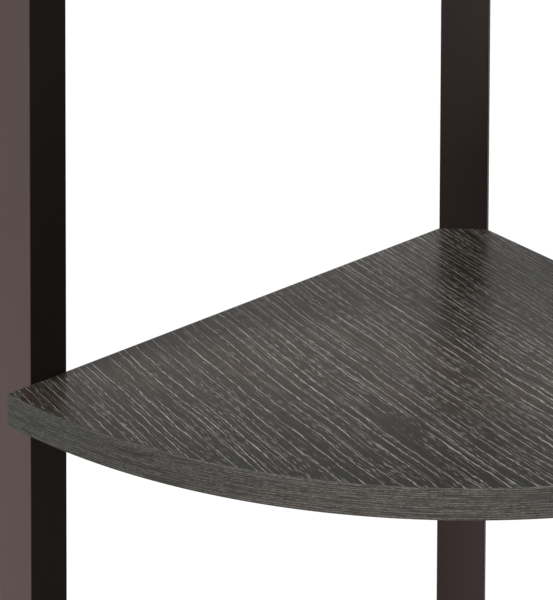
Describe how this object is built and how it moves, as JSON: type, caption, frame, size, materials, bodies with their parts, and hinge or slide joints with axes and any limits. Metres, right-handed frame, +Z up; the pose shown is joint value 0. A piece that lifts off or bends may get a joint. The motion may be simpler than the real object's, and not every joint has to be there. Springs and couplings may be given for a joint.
{
  "type": "corner shelf unit",
  "caption": "Free-standing corner shelf unit: quarter-round laminate shelves bolted between square steel posts with levelling feet.",
  "frame": {"origin": "on the floor, under the middle of the unit's bounding box", "axes": "+Z up; the room's corner is at -X, +Y, so the straight sides face -X and +Y and the round fronts face +X, -Y"},
  "size_m": [0.3482, 0.3482, 1.5233],
  "materials": {
    "shelf_laminate": "satin laminate printed with a dark taupe limed wood grain",
    "edge_band": "satin edge band in the same limed grain",
    "post_paint": "satin dark brown powder coat",
    "black_plastic": "fine-grained black moulding",
    "zinc_steel": "bright zinc plate",
    "black_steel": "black oxide"
  },
  "bodies": {
    "frame": {"shelf_board_1": "shelf_laminate", "shelf_board_2": "shelf_laminate", "shelf_board_3": "shelf_laminate", "shelf_board_4": "shelf_laminate", "shelf_board_5": "shelf_laminate", "edge_band_1": "edge_band", "edge_band_2": "edge_band", "edge_band_3": "edge_band", "edge_band_4": "edge_band", "edge_band_5": "edge_band", "post_left": "post_paint", "post_corner": "post_paint", "post_right": "post_paint", "post_cap_left": "black_plastic", "post_cap_corner": "black_plastic", "post_cap_right": "black_plastic", "foot_socket_left": "black_plastic", "foot_socket_corner": "black_plastic", "foot_socket_right": "black_plastic", "bolt_1_left": "black_steel", "bolt_2_left": "black_steel", "bolt_3_left": "black_steel", "bolt_4_left": "black_steel", "bolt_5_left": "black_steel", "bolt_1_corner": "black_steel", "bolt_2_corner": "black_steel", "bolt_3_corner": "black_steel", "bolt_4_corner": "black_steel", "bolt_5_corner": "black_steel", "bolt_1_right": "black_steel", "bolt_2_right": "black_steel", "bolt_3_right": "black_steel", "bolt_4_right": "black_steel", "bolt_5_right": "black_steel", "barrel_nut_1_left": "zinc_steel", "barrel_nut_2_left": "zinc_steel", "barrel_nut_3_left": "zinc_steel", "barrel_nut_4_left": "zinc_steel", "barrel_nut_5_left": "zinc_steel", "barrel_nut_1_corner": "zinc_steel", "barrel_nut_2_corner": "zinc_steel", "barrel_nut_3_corner": "zinc_steel", "barrel_nut_4_corner": "zinc_steel", "barrel_nut_5_corner": "zinc_steel", "barrel_nut_1_right": "zinc_steel", "barrel_nut_2_right": "zinc_steel", "barrel_nut_3_right": "zinc_steel", "barrel_nut_4_right": "zinc_steel", "barrel_nut_5_right": "zinc_steel"},
    "left_foot": {"foot_pad_left": "black_plastic", "foot_stem_left": "zinc_steel"},
    "corner_foot": {"foot_pad_corner": "black_plastic", "foot_stem_corner": "zinc_steel"},
    "right_foot": {"foot_pad_right": "black_plastic", "foot_stem_right": "zinc_steel"}
  },
  "joints": [
    {"name": "left_foot_screw", "type": "slide", "parent": "frame", "child": "left_foot", "axis": [0, 0, -1], "range_m": [0, 0.012]},
    {"name": "corner_foot_screw", "type": "slide", "parent": "frame", "child": "corner_foot", "axis": [0, 0, -1], "range_m": [0, 0.012]},
    {"name": "right_foot_screw", "type": "slide", "parent": "frame", "child": "right_foot", "axis": [0, 0, -1], "range_m": [0, 0.012]}
  ]
}
